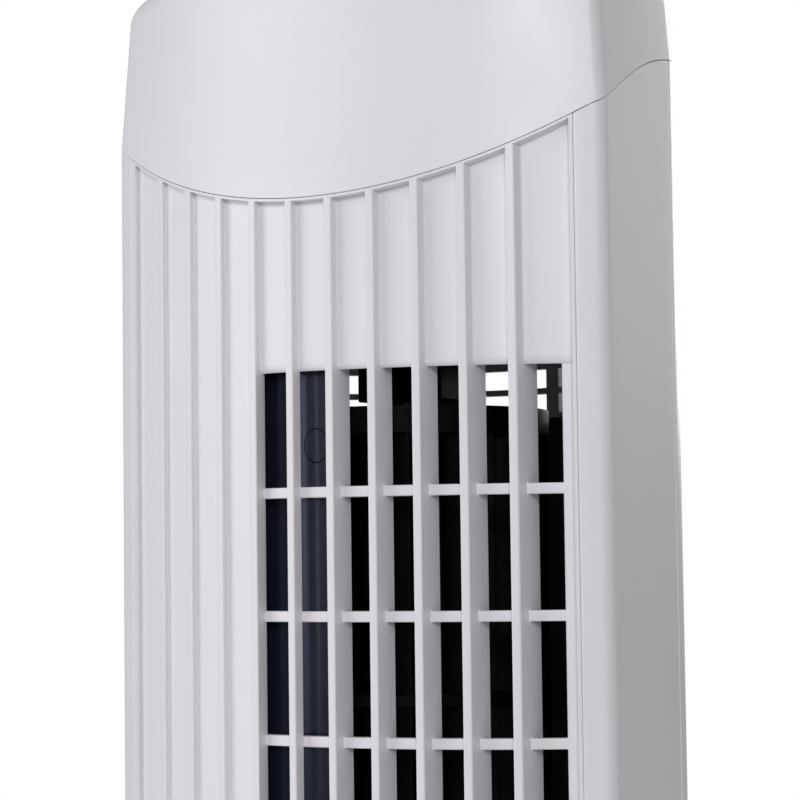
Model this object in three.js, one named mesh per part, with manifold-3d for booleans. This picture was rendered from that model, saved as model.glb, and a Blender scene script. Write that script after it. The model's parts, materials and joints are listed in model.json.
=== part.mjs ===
// Tower fan: a round weighted base, and a tower that swings on it. The tower holds a cross-flow
// impeller behind a ribbed front grille, and its cap carries four push buttons.
// Millimetres, +Z up, front towards -Y, origin on the floor on the swing axis.
import * as THREE from "three";
import { mergeVertices } from "three/addons/utils/BufferGeometryUtils.js";
import Module from "manifold-3d";

const wasm = await Module();
wasm.setup();

// ---- Driving dimensions ----

const fanHeight = 890;
const baseRadius = 135;
const bodyHalfWidth = 82;
const faceRadius = 147.5; // plan radius of the bowed front face
const faceY = -64; // front-most line of the face
const rearY = 66;
const seamY = 9.5; // where the front shell meets the rear shell
const frontCornerRadius = 5;
const rearCornerRadius = 22;
const wall = 2.5;
const gap = 0.4; // between pieces that touch
const shellBottomZ = 42;

const ribPitch = 13;
const ribWidth = 2.4;
const columnCount = 11; // columns between the two edges of the grille
const firstOpenRib = 4; // the columns left of this rib are closed
const firstDeepRib = 6;
const ribBackDepth = 10.2; // from the rib fronts back to the ends of the deep ribs, at the middle
const ribBackRadius = 120; // plan radius that the deep ribs end on
const panelDepth = 3; // from the rib fronts back to the closed panel, at the middle
const panelTurn = 0.018; // how much deeper the panel lies for each mm to the right
const panelThickness = 1.5;
const barSetback = 1.3; // from the panel's front back to the bars'
const barPitch = 35.4;
const barHeight = 3.1;
const barDepth = 3;
const barCount = 15;
const topBarZ = 730;
const openingMargin = 34.6; // from a bar's centre to the end of the opening
const grilleBottomZ = 112;
const openingRightX = 69;
const insertHalfWidth = 74.4;
const rimLeft = 2.4; // widths of the flush rim round the sunk grille field
const rimRight = 1;
const rimTop = 0.8;
const rimBottom = 2.9;

const seamFrontZ = 814.4; // cap seam at the middle of the face
const seamRearZ = 859;
const capDraft = 0.07; // how much each side of the cap leans in per mm of height
const capRound = 9;
const crownRadius = 700;
const crownY = -35; // the crown is highest here
const capCeilingZ = 881;

const impellerY = -4;
const impellerRadius = 43;
const impellerBottomZ = 205;
const impellerTopZ = 755;
const bladeCount = 12;
const impellerSections = 3;
const motorShaftRadius = 4;
const topPinRadius = 3;

const swingPostRadius = 8;
const crankY = 28; // crank axis, behind the swing axis
const crankThrow = 16;

const buttonPitch = 22;
const buttonRadius = 6;
const panelTopZ = 885.9;
const panelHalfLength = 50;
const panelHalfDepth = 18;

const round = 24; // sides of a visible round piece
const small = 10; // sides of a screw or a pin

// ---- Sizes worked out from them ----

const faceCentreY = faceY + faceRadius;
const openingTopZ = topBarZ + openingMargin;
const lowestBarZ = topBarZ - (barCount - 1) * barPitch;
const openingBottomZ = lowestBarZ - openingMargin;
const openingLeftX = ribX(firstOpenRib) + ribWidth / 2;
const ductBottomZ = 193.5;
const ductTopZ = 772;
const scrollTopZ = 754;
const boardTopZ = 870.6;
const turntableTopZ = 47.4;

// ---- Solids ----

function solid(geometry) {
  const bare = geometry.index ? geometry.toNonIndexed() : geometry.clone();
  bare.deleteAttribute("normal");
  bare.deleteAttribute("uv");
  const merged = mergeVertices(bare, 1e-4);
  return new wasm.Manifold(
    new wasm.Mesh({
      numProp: 3,
      vertProperties: merged.attributes.position.array,
      triVerts: new Uint32Array(merged.index.array),
    }),
  );
}

function geometryOf(body) {
  const mesh = body.getMesh();
  const geometry = new THREE.BufferGeometry();
  geometry.setAttribute("position", new THREE.BufferAttribute(mesh.vertProperties, 3));
  geometry.setIndex(new THREE.BufferAttribute(mesh.triVerts, 1));
  const faceted = geometry.toNonIndexed();
  faceted.computeVertexNormals();
  return faceted;
}

function join(bodies) {
  return bodies.reduce((whole, body) => whole.add(body));
}

function box(x, y, z) {
  const geometry = new THREE.BoxGeometry(x[1] - x[0], y[1] - y[0], z[1] - z[0]);
  geometry.translate((x[0] + x[1]) / 2, (y[0] + y[1]) / 2, (z[0] + z[1]) / 2);
  return solid(geometry);
}

// An upright rod.
function rod(x, y, radius, z, sides = small) {
  const geometry = new THREE.CylinderGeometry(radius, radius, z[1] - z[0], sides);
  geometry.rotateX(Math.PI / 2);
  geometry.translate(x, y, (z[0] + z[1]) / 2);
  return solid(geometry);
}

// A rod that lies front to back.
function rodAlongY(x, z, radius, y, sides = small) {
  const geometry = new THREE.CylinderGeometry(radius, radius, y[1] - y[0], sides);
  geometry.translate(x, (y[0] + y[1]) / 2, z);
  return solid(geometry);
}

// An outline of [x, y] points, or a THREE.Vector2 list, raised between two heights.
function prism(points, z) {
  const outline = new THREE.Shape(points.map((p) => (p.isVector2 ? p : new THREE.Vector2(...p))));
  const geometry = new THREE.ExtrudeGeometry(outline, { depth: z[1] - z[0], bevelEnabled: false });
  geometry.translate(0, 0, z[0]);
  return solid(geometry);
}

// A profile of [radius, z] points, clockwise seen with the axis on the left, turned about an axis.
function turned(profile, x = 0, y = 0, sides = round) {
  const points = profile.map((p) => new THREE.Vector2(...p)).reverse();
  if (points[0].x > 0) points.push(points[0].clone());
  const geometry = new THREE.LatheGeometry(points, sides);
  geometry.rotateX(Math.PI / 2);
  geometry.translate(x, y, 0);
  return solid(geometry);
}

function arc(centreX, centreY, radius, from, to, steps) {
  return Array.from({ length: steps + 1 }, (_, i) => {
    const angle = from + ((to - from) * i) / steps;
    return new THREE.Vector2(centreX + radius * Math.cos(angle), centreY + radius * Math.sin(angle));
  });
}

// Drops the points that repeat the one before them.
function cleaned(points) {
  return points.filter((p, i) => p.distanceTo(points[(i + points.length - 1) % points.length]) > 0.01);
}

// ---- The tower's outline ----

function ribX(index) {
  return -(columnCount / 2) * ribPitch + index * ribPitch;
}

// Where the front face lies at a sideways place.
function faceAt(x) {
  return faceCentreY - Math.sqrt(faceRadius ** 2 - x ** 2);
}

// Where the front of the closed panel lies. It sinks a little towards the right.
function panelAt(x) {
  return faceAt(x) + panelDepth + panelTurn * x;
}

// Where the deep ribs end.
function ribBackAt(x) {
  return faceY + ribBackDepth + ribBackRadius - Math.sqrt(ribBackRadius ** 2 - x ** 2);
}

// A surface set back from another, away from the front.
function behind(surface, depth) {
  return (x) => surface(x) + depth;
}

// The plan outline of the tower, moved in from its outer surface.
function bodyOutline(inset, frontSteps = 16) {
  const halfWidth = bodyHalfWidth - inset;
  const face = faceRadius - inset;
  const corner = Math.max(frontCornerRadius - inset, 0.8);
  const rearCorner = rearCornerRadius - inset;
  const cornerX = halfWidth - corner;
  const cornerY = faceCentreY - Math.sqrt((face - corner) ** 2 - cornerX ** 2);
  const cornerAngle = Math.atan2(faceCentreY - cornerY, cornerX);
  const rearCornerX = bodyHalfWidth - rearCornerRadius;
  const rearReach = rearY - rearCornerRadius;
  const rearCentreY = (rearCornerX ** 2 + seamY ** 2 - rearReach ** 2) / (2 * (seamY - rearReach));
  const rearAngle = Math.atan2(seamY - rearCentreY, rearCornerX);
  const rear = rearY - rearCentreY - inset;
  const turn = Math.PI;
  return cleaned([
    ...arc(cornerX, cornerY, corner, -cornerAngle, 0, 3),
    ...arc(rearCornerX, seamY, rearCorner, 0, rearAngle, 4),
    ...arc(0, rearCentreY, rear, rearAngle, turn - rearAngle, 10),
    ...arc(-rearCornerX, seamY, rearCorner, turn - rearAngle, turn, 4),
    ...arc(-cornerX, cornerY, corner, turn, turn + cornerAngle, 3),
    ...arc(0, faceCentreY, face, turn + cornerAngle, 2 * turn - cornerAngle, frontSteps),
  ]);
}

// The hollow wall of the tower between two heights.
function bodyWall(z) {
  return prism(bodyOutline(0), z).subtract(prism(bodyOutline(wall), [z[0] - 1, z[1] + 1]));
}

// A slab between two sideways places and two surfaces that follow the face.
function faceSlab(x, front, back, z, steps = 10) {
  const places = Array.from({ length: steps + 1 }, (_, i) => x[0] + ((x[1] - x[0]) * i) / steps);
  const pointsOn = (surface) => places.map((place) => [place, surface(place)]);
  return prism([...pointsOn(front), ...pointsOn(back).reverse()], z);
}

// The cap seam in side view, as (y, z) points. It climbs back from the face, steeply over the bowed
// front and gently along the sides, and runs level round the rear.
function seamPoints() {
  const cornerBackY = faceY + 23;
  const cornerZ = seamFrontZ + 23;
  const side = new THREE.CubicBezierCurve(
    new THREE.Vector2(cornerBackY, cornerZ),
    new THREE.Vector2(cornerBackY + 26, cornerZ + 14),
    new THREE.Vector2(cornerBackY + 36, seamRearZ),
    new THREE.Vector2(seamY + 20, seamRearZ),
  );
  const front = new THREE.Vector2(faceY - 20, seamFrontZ - 20);
  return [front, ...side.getPoints(8), new THREE.Vector2(rearY + 20, seamRearZ)];
}

const seamLine = seamPoints();

// Height of the cap seam at a front-to-back place.
function seamHeight(y) {
  const next = seamLine.findIndex((point) => point.x >= y);
  const start = seamLine[next - 1];
  const end = seamLine[next];
  return start.y + ((end.y - start.y) * (y - start.x)) / (end.x - start.x);
}

// Everything above the cap seam, raised by an offset.
function aboveSeam(offset) {
  const profile = [...seamLine];
  profile.push(new THREE.Vector2(rearY + 20, fanHeight + 60));
  profile.push(new THREE.Vector2(faceY - 20, fanHeight + 60));
  const geometry = new THREE.ExtrudeGeometry(new THREE.Shape(profile), { depth: 240, bevelEnabled: false });
  // The profile is drawn as (y, z), so it is stood up across the tower.
  geometry.rotateX(Math.PI / 2);
  geometry.rotateZ(Math.PI / 2);
  geometry.translate(-120, 0, offset);
  return solid(geometry);
}

// ---- Materials ----

function plastic(colour, roughness = 0.45) {
  return new THREE.MeshStandardMaterial({ color: colour, roughness, metalness: 0 });
}

function metal(colour, roughness = 0.35) {
  return new THREE.MeshStandardMaterial({ color: colour, roughness, metalness: 1 });
}

const looks = {
  shell: () => plastic(0xdcdbe0),
  duct: () => plastic(0x15151a, 0.2),
  impeller: () => plastic(0x17161b, 0.5),
  control: () => plastic(0x9fa0a6, 0.4),
  board: () => plastic(0x1f5a36, 0.6),
  rubber: () => plastic(0x1b1b1c, 0.85),
  darkPlastic: () => plastic(0x2b2b2e, 0.6),
  nylon: () => plastic(0xe6e2d6, 0.5),
  steel: () => metal(0xb8babd),
  castIron: () => metal(0x4a4b4d, 0.7),
  aluminium: () => metal(0xc4c6c9, 0.4),
  cable: () => plastic(0x2a2a2c, 0.6),
};

const fan = new THREE.Group();
const baseGroup = new THREE.Group();
const towerGroup = new THREE.Group();
const impellerGroup = new THREE.Group();
fan.add(baseGroup, towerGroup);
towerGroup.add(impellerGroup);

function place(group, name, body, look) {
  const mesh = new THREE.Mesh(geometryOf(body), looks[look]());
  mesh.name = name;
  group.add(mesh);
}

// ---- Base ----

const footCount = 5;
const footCircle = 100;
const baseScrewCircle = 66;
const plateZ = [5, 10];

// Places a number of points evenly round the swing axis, starting at an angle.
function ringOf(count, radius, start) {
  return Array.from({ length: count }, (_, i) => {
    const angle = start + (2 * Math.PI * i) / count;
    return [radius * Math.cos(angle), radius * Math.sin(angle)];
  });
}

const baseScrewPlaces = ringOf(4, baseScrewCircle, Math.PI / 4);

function makeBaseCover() {
  const shell = turned([
    [swingPostRadius + 0.6, 33.5],
    [swingPostRadius + 0.6, 36],
    [62, 36],
    [86, 32.5],
    [112, 25.5],
    [127, 19.5],
    [baseRadius, 11],
    [baseRadius, 5],
    [baseRadius - wall, 5],
    [baseRadius - wall, 10],
    [125.5, 17],
    [111, 23],
    [85.5, 30],
    [61.8, 33.5],
  ], 0, 0, 40);
  const bosses = baseScrewPlaces.map(([x, y]) => rod(x, y, 5, [plateZ[1] + gap, 33.5]));
  const bores = baseScrewPlaces.map(([x, y]) => rod(x, y, 1.9, [plateZ[1], 27]));
  const glandHole = rodAlongY(0, 10.5, 4.6, [120, 140], 16);
  return join([shell, ...bosses]).subtract(join(bores)).subtract(glandHole);
}

function makeBasePlate() {
  const disc = rod(0, 0, 120, plateZ, 32);
  const holes = baseScrewPlaces.map(([x, y]) => rod(x, y, 1.9, [0, 20]));
  const counterbores = baseScrewPlaces.map(([x, y]) => rod(x, y, 4.2, [0, 7.6]));
  const cordHole = rod(0, 0, 4.5, [0, 20]);
  return disc.subtract(join([...holes, ...counterbores, cordHole]));
}

// A pan-head screw pointing up from its head.
function screwUp(x, y, headZ, tipZ) {
  return join([rod(x, y, 3.6, [headZ, headZ + 2.2]), rod(x, y, 1.5, [headZ + 2, tipZ])]);
}

function makePivotPost() {
  return turned([
    [4.5, plateZ[1] + gap],
    [4.5, 53],
    [6.5, 53],
    [6.5, turntableTopZ + 0.1],
    [swingPostRadius, turntableTopZ + 0.1],
    [swingPostRadius, 13.4],
    [24, 13.4],
    [24, plateZ[1] + gap],
  ]);
}

// The slotted plate that the crank pin works in.
function makeSwingYoke() {
  const z = [36 + gap, 38.8];
  const plate = box([-7, 7], [10.5, 47.5], z);
  return plate.subtract(box([-2.7, 2.7], [12.5, 45.8], [z[0] - 1, z[1] + 1]));
}

function makeCordGland() {
  const ring = rodAlongY(0, 10.5, 4.2, [128.5, 134.4], 16);
  return ring.subtract(rodAlongY(0, 10.5, 2.9, [120, 140], 16));
}

place(baseGroup, "base_cover", makeBaseCover(), "shell");
place(baseGroup, "base_weight_plate", makeBasePlate(), "castIron");
ringOf(footCount, footCircle, Math.PI / 2).forEach(([x, y], i) => {
  place(baseGroup, `rubber_foot_${i + 1}`, rod(x, y, 9, [0, plateZ[0] - gap], 20), "rubber");
});
baseScrewPlaces.forEach(([x, y], i) => {
  place(baseGroup, `base_screw_${i + 1}`, screwUp(x, y, plateZ[0] + 0.2, 24), "steel");
});
place(baseGroup, "pivot_post", makePivotPost(), "darkPlastic");
place(baseGroup, "swing_yoke", makeSwingYoke(), "steel");
place(baseGroup, "cord_gland", makeCordGland(), "rubber");
const slideRing = turned([[50.5, 36 + gap], [50.5, 38.4], [56.5, 38.4], [56.5, 36 + gap]], 0, 0, round);
place(baseGroup, "slide_ring", slideRing, "nylon");
const retainer = turned([[6.9, 47.8], [6.9, 50.6], [13.5, 50.6], [13.5, 47.8]]);
place(baseGroup, "pivot_retainer", retainer, "nylon");

// ---- Swing drive, carried by the tower ----

function makeTurntable() {
  const plate = prism(bodyOutline(wall + gap), [44.4, turntableTopZ]);
  const neck = turned([[49.5, 38.8], [49.5, 44.6], [57.5, 44.6], [57.5, 38.8]], 0, 0, round);
  const postHole = rod(0, 0, swingPostRadius + 0.5, [30, 60], round);
  const crankHole = rod(0, crankY, 3.3, [30, 60], 16);
  return plate.add(neck).subtract(postHole).subtract(crankHole);
}

function makeSwingMotor() {
  const can = rod(0, crankY + 10, 21.5, [turntableTopZ + gap, 64], round);
  return can.subtract(rod(0, crankY, 3, [40, 58], 16));
}

// The crank's arm lies straight back at rest, and its pin stops just above the yoke.
function makeCrank() {
  const spindle = rod(0, crankY, 2.5, [41.2, 57.4], 16);
  const arm = box([-3.2, 3.2], [crankY - 3.2, crankY + crankThrow + 3.2], [41.2, 43.4]);
  const pin = rod(0, crankY + crankThrow, 2.2, [39.2, 42], 16);
  return join([spindle, arm, pin]);
}

const crankGroup = new THREE.Group();
towerGroup.add(crankGroup);
place(towerGroup, "turntable", makeTurntable(), "shell");
place(towerGroup, "swing_motor", makeSwingMotor(), "aluminium");
place(crankGroup, "swing_crank", makeCrank(), "steel");

// ---- Shells ----

const shellScrewX = 74;
const shellScrewHeights = [92, 440, 800];
const shellScrewPlaces = shellScrewHeights.flatMap((z) => [[-shellScrewX, z], [shellScrewX, z]]);

// A block against the side wall that takes one shell screw, trimmed to the tower's outline.
function screwBlock(x, z, y) {
  const side = Math.sign(x);
  const block = box([67, bodyHalfWidth].map((edge) => edge * side).sort((a, b) => a - b), y, [z - 6, z + 6]);
  return block.intersect(prism(bodyOutline(0.6), [z - 7, z + 7]));
}

function makeFrontShell() {
  const height = [shellBottomZ, fanHeight];
  const front = box([-100, 100], [faceY - 10, seamY - gap / 2], [0, fanHeight + 10]);
  const windowHalf = insertHalfWidth + gap;
  const windowBackY = faceAt(insertHalfWidth) + 8;
  const windowZ = [grilleBottomZ - gap, fanHeight + 10];
  const window = box([-windowHalf, windowHalf], [faceY - 10, windowBackY], windowZ);
  const walls = bodyWall(height).intersect(front).subtract(window).subtract(aboveSeam(-gap / 2));
  const blocks = shellScrewPlaces.map(([x, z]) => screwBlock(x, z, [-12, seamY - gap / 2]));
  const bores = shellScrewPlaces.map(([x, z]) => rodAlongY(x, z, 1.9, [-9, seamY + 10]));
  return join([walls, ...blocks]).subtract(join(bores));
}

const inletRows = 35;
const inletPitch = 16.2;
const inletSlotHeight = 4.3;
const inletTopZ = 770;
const inletColumns = [[-56, -21.5], [-16.5, 16.5], [21.5, 56]];

// Slots through the back, as three columns of level slots.
function makeInletSlots() {
  return join(inletColumns.flatMap((x) => Array.from({ length: inletRows }, (_, row) => {
    const z = inletTopZ - row * inletPitch;
    return box(x, [seamY + 10, rearY + 10], [z - inletSlotHeight, z]);
  })));
}

const bracketScrewX = 68;
const bracketScrewY = 20;

function makeRearShell() {
  const rear = box([-100, 100], [seamY + gap / 2, rearY + 10], [0, fanHeight + 10]);
  const walls = bodyWall([shellBottomZ, fanHeight]).intersect(rear).subtract(aboveSeam(-gap / 2));
  const blocks = shellScrewPlaces.map(([x, z]) => screwBlock(x, z, [seamY + gap / 2, 40]));
  const heads = shellScrewPlaces.map(([x, z]) => rodAlongY(x, z, 4.1, [18.5, 60]));
  const bores = shellScrewPlaces.map(([x, z]) => rodAlongY(x, z, 1.9, [seamY - 5, 30]));
  const shelves = [-1, 1].map((side) => {
    const x = [62, bodyHalfWidth].map((edge) => edge * side).sort((a, b) => a - b);
    return box(x, [13, 30], [772, 779.6]).intersect(prism(bodyOutline(0.6), [771, 781]));
  });
  const shelfBores = [-1, 1].map((side) => rod(side * bracketScrewX, bracketScrewY, 1.9, [765, 785]));
  return join([walls, ...blocks, ...shelves])
    .subtract(join([...heads, ...bores, ...shelfBores]))
    .subtract(makeInletSlots());
}

// A screw whose head faces the rear.
function shellScrew(x, z) {
  return join([rodAlongY(x, z, 3.6, [18.8, 21.2]), rodAlongY(x, z, 1.5, [-6, 19])]);
}

place(towerGroup, "front_shell", makeFrontShell(), "shell");
place(towerGroup, "rear_shell", makeRearShell(), "shell");
shellScrewPlaces.forEach(([x, z], i) => {
  place(towerGroup, `shell_screw_${i + 1}`, shellScrew(x, z), "steel");
});

// ---- Front grille ----

function makeRib(index) {
  const x = ribX(index);
  const sides = [x - ribWidth / 2, x + ribWidth / 2];
  const shallow = faceSlab(sides, faceAt, behind(panelAt, 1), [grilleBottomZ + 1, fanHeight], 1);
  if (index < firstOpenRib) return shallow;
  const back = index < firstDeepRib ? behind(panelAt, barSetback + 0.5) : ribBackAt;
  return shallow.add(faceSlab(sides, faceAt, back, [openingBottomZ - 2, openingTopZ + 2], 1));
}

function makeBar(index) {
  const z = topBarZ - index * barPitch;
  const height = [z - barHeight / 2, z + barHeight / 2];
  const ends = [openingLeftX - 3, openingRightX + 3];
  return faceSlab(ends, behind(panelAt, barSetback), behind(panelAt, barSetback + barDepth), height, 4);
}

function makeFrontGrille() {
  const height = [grilleBottomZ, fanHeight];
  const width = [-insertHalfWidth, insertHalfWidth];
  const back = behind(panelAt, panelThickness);
  const panel = faceSlab(width, panelAt, back, height);
  const opening = box([openingLeftX, openingRightX], [faceY - 10, 0], [openingBottomZ, openingTopZ]);
  const fieldWidth = [rimLeft - insertHalfWidth, insertHalfWidth - rimRight];
  const field = box(fieldWidth, [faceY - 10, 0], [grilleBottomZ + rimBottom, fanHeight + 10])
    .subtract(aboveSeam(-gap - rimTop));
  const rim = faceSlab(width, faceAt, back, height).subtract(field);
  const ribs = Array.from({ length: columnCount - 1 }, (_, i) => makeRib(i + 1));
  const bars = Array.from({ length: barCount }, (_, i) => makeBar(i));
  return join([panel.subtract(opening), rim, ...ribs, ...bars]).subtract(aboveSeam(-gap));
}

place(towerGroup, "front_grille", makeFrontGrille(), "shell");

// ---- Cap and controls ----

const buttonNames = ["power_button", "speed_button", "swing_button", "timer_button"];

function buttonX(index) {
  return (index - (buttonNames.length - 1) / 2) * buttonPitch;
}

// Leans the sides in above the seam.
function leanIn(geometry) {
  const position = geometry.attributes.position;
  for (let i = 0; i < position.count; i += 1) {
    const rise = position.getZ(i) - seamHeight(position.getY(i));
    const shrink = 1 - (capDraft * rise) / bodyHalfWidth;
    position.setXY(i, position.getX(i) * shrink, position.getY(i) * shrink);
  }
  return geometry;
}

// The tower's outline with its top edge rounded over.
function roundedBlock(inset, rounding, topZ) {
  const outline = new THREE.Shape(bodyOutline(inset + rounding, 12));
  const geometry = new THREE.ExtrudeGeometry(outline, {
    depth: topZ - seamFrontZ + 20 - rounding,
    bevelThickness: rounding,
    bevelSize: rounding,
    bevelSegments: 3,
  });
  geometry.translate(0, 0, seamFrontZ - 20);
  return solid(leanIn(geometry));
}

// The space under the crown of the cap, lowered by a drop.
function makeCrown(drop) {
  const slope = arc(0, fanHeight - drop - crownRadius, crownRadius, Math.PI / 2, Math.PI / 2 - 0.18, 8);
  const rim = slope[slope.length - 1];
  return turned([[0, 700], ...slope.map((p) => [p.x, p.y]), [rim.x, 700]], 0, crownY);
}

const boardScrewX = 54;

function makeTopCap() {
  const outer = roundedBlock(0, capRound, fanHeight).intersect(makeCrown(0));
  const hollow = roundedBlock(wall, capRound - wall, capCeilingZ).intersect(makeCrown(wall + 0.5));
  const posts = [-1, 1].map((side) => rod(side * boardScrewX, 0, 4, [boardTopZ + gap, capCeilingZ + 1]));
  const postBores = [-1, 1].map((side) => rod(side * boardScrewX, 0, 1.2, [boardTopZ, capCeilingZ - 2]));
  const pocketHalf = [panelHalfLength + gap, panelHalfDepth + gap];
  const [pocketX, pocketY] = pocketHalf.map((half) => [-half, half]);
  const pocket = box(pocketX, pocketY, [panelTopZ - 2.8, fanHeight + 10]);
  const window = box([-44, 44], [-13, 13], [capCeilingZ - 5, fanHeight]);
  return join([outer.intersect(aboveSeam(gap / 2)).subtract(hollow), ...posts])
    .subtract(join([pocket, window, ...postBores]));
}

function makeControlPanel() {
  const plate = box([-panelHalfLength, panelHalfLength], [-panelHalfDepth, panelHalfDepth],
    [panelTopZ - 2.5, panelTopZ]);
  const holes = buttonNames.map((_, i) => rod(buttonX(i), 0, buttonRadius + gap, [870, 900], 14));
  return plate.subtract(join(holes));
}

function makeButton(index) {
  const underPanel = panelTopZ - 2.5 - gap;
  return turned([
    [0, boardTopZ + 3.6],
    [0, panelTopZ + 2],
    [buttonRadius - 1, panelTopZ + 2],
    [buttonRadius, panelTopZ + 1.2],
    [buttonRadius, underPanel],
    [buttonRadius + 2, underPanel],
    [buttonRadius + 2, underPanel - 1.5],
    [2.5, underPanel - 1.5],
    [2.5, boardTopZ + 3.6],
  ], buttonX(index), 0, 14);
}

function makeControlBoard() {
  const board = box([-60, 60], [-17, 17], [boardTopZ - 1.6, boardTopZ]);
  const switches = buttonNames.map((_, i) => {
    return box([buttonX(i) - 3, buttonX(i) + 3], [-3, 3], [boardTopZ - 0.5, boardTopZ + 1.8]);
  });
  const holes = [-1, 1].map((side) => rod(side * boardScrewX, 0, 1.5, [860, 880]));
  return join([board, ...switches]).subtract(join(holes));
}

function boardScrew(side) {
  const x = side * boardScrewX;
  const headTopZ = boardTopZ - 1.6 - gap;
  return join([rod(x, 0, 2.6, [headTopZ - 1.8, headTopZ]), rod(x, 0, 0.9, [headTopZ - 1, boardTopZ + 7])]);
}

place(towerGroup, "top_cap", makeTopCap(), "shell");
place(towerGroup, "control_panel", makeControlPanel(), "control");
place(towerGroup, "control_board", makeControlBoard(), "board");
[-1, 1].forEach((side, i) => place(towerGroup, `board_screw_${i + 1}`, boardScrew(side), "steel"));
buttonNames.forEach((name, i) => place(towerGroup, name, makeButton(i), "control"));

// ---- Air duct ----

// A thin upright wall that follows a plan curve through a few [x, depth behind the face] points.
function ductWall(points, thickness, steps, topZ = ductTopZ) {
  const curve = new THREE.SplineCurve(points.map(([x, depth]) => new THREE.Vector2(x, faceY + depth)));
  const places = Array.from({ length: steps + 1 }, (_, i) => i / steps);
  const sideOf = (side) => places.map((t) => {
    const along = curve.getTangent(t);
    const normal = new THREE.Vector2(-along.y, along.x).multiplyScalar((side * thickness) / 2);
    return curve.getPoint(t).add(normal);
  });
  return prism([...sideOf(-1), ...sideOf(1).reverse()], [ductBottomZ + gap, topZ]);
}

// The guide wall runs from the right edge of the outlet round the impeller to the inlet.
function makeScrollWall() {
  return ductWall([[68.5, 28], [65, 43], [57.5, 66], [45, 86], [26.5, 100]], 2, 10, scrollTopZ);
}

// The stabiliser stands close to the impeller at the left edge of the outlet.
function makeStabiliser() {
  return ductWall([[-26, 12.6], [-14, 12.8], [-6.5, 10.6], [-1, 10], [2.8, 14.4]], 2, 8);
}

function makeMotorMount() {
  const plate = prism(bodyOutline(wall + gap), [ductBottomZ - 3, ductBottomZ]);
  const grilleSpace = faceSlab([-90, 90], behind(faceAt, -8), behind(faceAt, 15), [100, 300], 6);
  const loomNotch = box([-100, -57], [-20, 6], [100, 300]);
  return plate.subtract(grilleSpace).subtract(loomNotch)
    .subtract(rod(0, impellerY, 9, [100, 300], 20));
}

function makeBearingBracket() {
  const plate = box([-75, 75], [-24, 28], [780, 783]).intersect(prism(bodyOutline(wall + gap), [779, 784]));
  const boss = box([-8, 20], [impellerY - 18, impellerY + 12], [757.8, 781]);
  const pocket = rod(0, impellerY, 6.4, [750, 771.6], 20);
  const holes = [-1, 1].map((side) => rod(side * bracketScrewX, bracketScrewY, 1.9, [770, 790]));
  const notch = box([-100, -57], [-30, 6], [770, 790]);
  return plate.add(boss).subtract(join([pocket, notch, ...holes]));
}

function bracketScrew(side) {
  const x = side * bracketScrewX;
  const y = bracketScrewY;
  return join([rod(x, y, 3.6, [783 + gap, 785.6]), rod(x, y, 1.5, [773, 784])]);
}

place(towerGroup, "scroll_wall", makeScrollWall(), "duct");
place(towerGroup, "stabiliser_wall", makeStabiliser(), "duct");
place(towerGroup, "motor_mount", makeMotorMount(), "duct");
place(towerGroup, "bearing_bracket", makeBearingBracket(), "duct");
const bushBore = topPinRadius + 0.3;
const bush = turned([[bushBore, 760], [bushBore, 771], [6, 771], [6, 760]], 0, impellerY, 20);
place(towerGroup, "bearing_bush", bush, "rubber");
[-1, 1].forEach((side, i) => place(towerGroup, `bracket_screw_${i + 1}`, bracketScrew(side), "steel"));

// ---- Impeller ----

// One blade's forward-leaning section, as an outline round the impeller's axis.
function bladeOutline(angle) {
  const inner = impellerRadius - 8;
  const outer = impellerRadius - 0.6;
  const lean = 0.16;
  const thickness = 0.035;
  const at = (radius, turn) => [radius * Math.cos(angle + turn), impellerY + radius * Math.sin(angle + turn)];
  return [at(inner, 0), at(outer, lean), at(outer, lean + thickness), at(inner, thickness)];
}

function impellerRing(z, innerRadius) {
  return turned([[innerRadius, z[0]], [innerRadius, z[1]], [impellerRadius, z[1]], [impellerRadius, z[0]]],
    0, impellerY, round);
}

function makeImpeller() {
  const blades = Array.from({ length: bladeCount }, (_, i) => {
    return prism(bladeOutline((2 * Math.PI * i) / bladeCount), [impellerBottomZ + 1, impellerTopZ - 1]);
  });
  const section = (impellerTopZ - impellerBottomZ) / impellerSections;
  const rings = Array.from({ length: impellerSections - 1 }, (_, i) => {
    const z = impellerBottomZ + (i + 1) * section;
    return impellerRing([z - 1.2, z + 1.2], impellerRadius - 9);
  });
  const endDiscs = [
    impellerRing([impellerBottomZ, impellerBottomZ + 3], motorShaftRadius + 0.3),
    impellerRing([impellerTopZ - 3, impellerTopZ], topPinRadius + 0.3),
    impellerRing([impellerTopZ - 8, impellerTopZ - 2], impellerRadius - 9),
  ];
  const hub = rod(0, impellerY, 10, [impellerBottomZ, impellerBottomZ + 22], 20);
  const topHub = rod(0, impellerY, 8, [impellerTopZ - 12, impellerTopZ], 20);
  const bore = rod(0, impellerY, motorShaftRadius + 0.3, [200, impellerBottomZ + 30]);
  const topBore = rod(0, impellerY, topPinRadius + 0.3, [impellerTopZ - 20, impellerTopZ + 5]);
  return join([...blades, ...rings, ...endDiscs, hub, topHub]).subtract(bore).subtract(topBore);
}

place(impellerGroup, "impeller", makeImpeller(), "impeller");
const topPin = rod(0, impellerY, topPinRadius, [impellerTopZ - 11, 769]);
place(impellerGroup, "impeller_pin", topPin, "steel");

// ---- Main motor ----

function makeMotorHousing() {
  return turned([
    [0, 138],
    [0, 141],
    [29, 141],
    [29, 182],
    [37, 182],
    [37, 138],
  ], 0, impellerY);
}

function makeMotorCover() {
  return turned([[motorShaftRadius + 0.4, 182 + gap], [motorShaftRadius + 0.4, 188], [12, 190.1], [37, 190.1],
    [37, 182 + gap]], 0, impellerY);
}

function makeMotorRotor() {
  const core = rod(0, impellerY, 26, [145, 178], round);
  return core.add(rod(0, impellerY, motorShaftRadius, [142, impellerBottomZ + 20]));
}

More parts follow.
